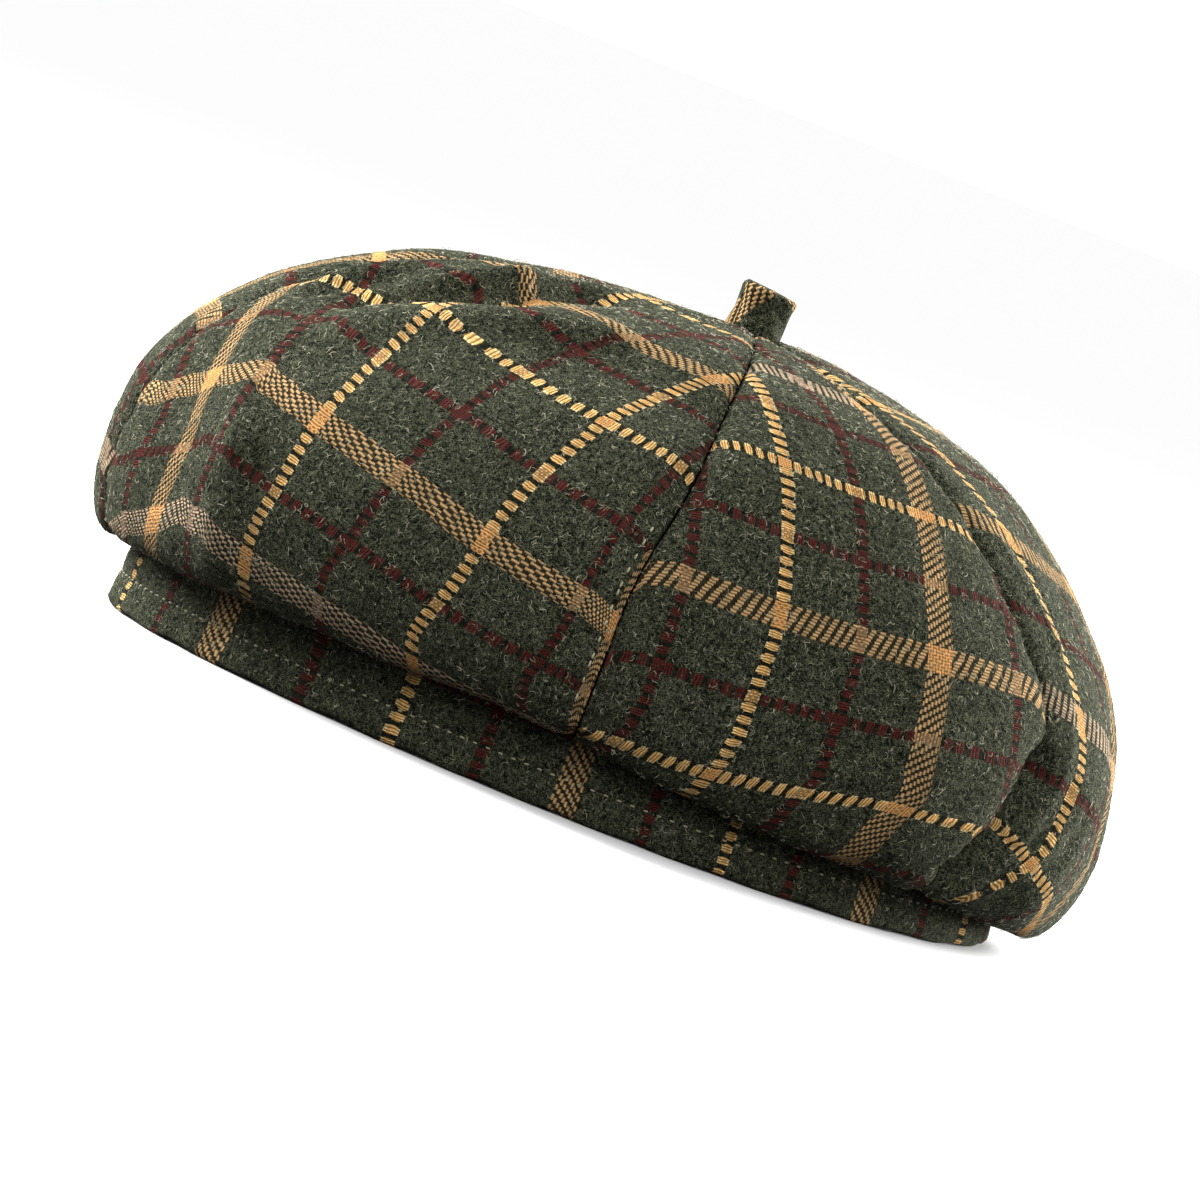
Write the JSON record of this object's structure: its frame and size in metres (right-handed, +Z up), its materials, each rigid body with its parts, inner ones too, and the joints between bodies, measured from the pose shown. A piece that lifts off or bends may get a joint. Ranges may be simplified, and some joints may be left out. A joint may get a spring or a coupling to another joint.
{
  "type": "tam o shanter",
  "caption": "Soft wool tam o shanter: a full checked crown of shaped cloth panels rolled under to a plain headband, with a short cloth stalk at the middle.",
  "frame": {"origin": "middle of the cap's bounding box at the level of the headband's lower edge, which is what the cap rests on", "axes": "+X along the cap's long axis towards the droopier end, -Y towards the side seen in the picture, +Z up through the stalk"},
  "size_m": [0.2291, 0.2021, 0.1134],
  "materials": {
    "gore_front_left_cloth": "dark green wool check, matt and hairy",
    "gore_front_right_cloth": "dark green wool check, matt and hairy",
    "gore_right_cloth": "dark green wool check, matt and hairy",
    "gore_back_right_cloth": "dark green wool check, matt and hairy",
    "gore_back_cloth": "dark green wool check, matt and hairy",
    "gore_left_cloth": "dark green wool check, matt and hairy",
    "headband_cloth": "dark green wool check, matt and hairy, topstitched",
    "stalk_cloth": "dark green wool check, matt and hairy"
  },
  "bodies": {
    "root": {"gore_front_left": "gore_front_left_cloth", "gore_front_right": "gore_front_right_cloth", "gore_right": "gore_right_cloth", "gore_back_right": "gore_back_right_cloth", "gore_back": "gore_back_cloth", "gore_left": "gore_left_cloth", "headband": "headband_cloth", "stalk": "stalk_cloth"}
  },
  "joints": []
}
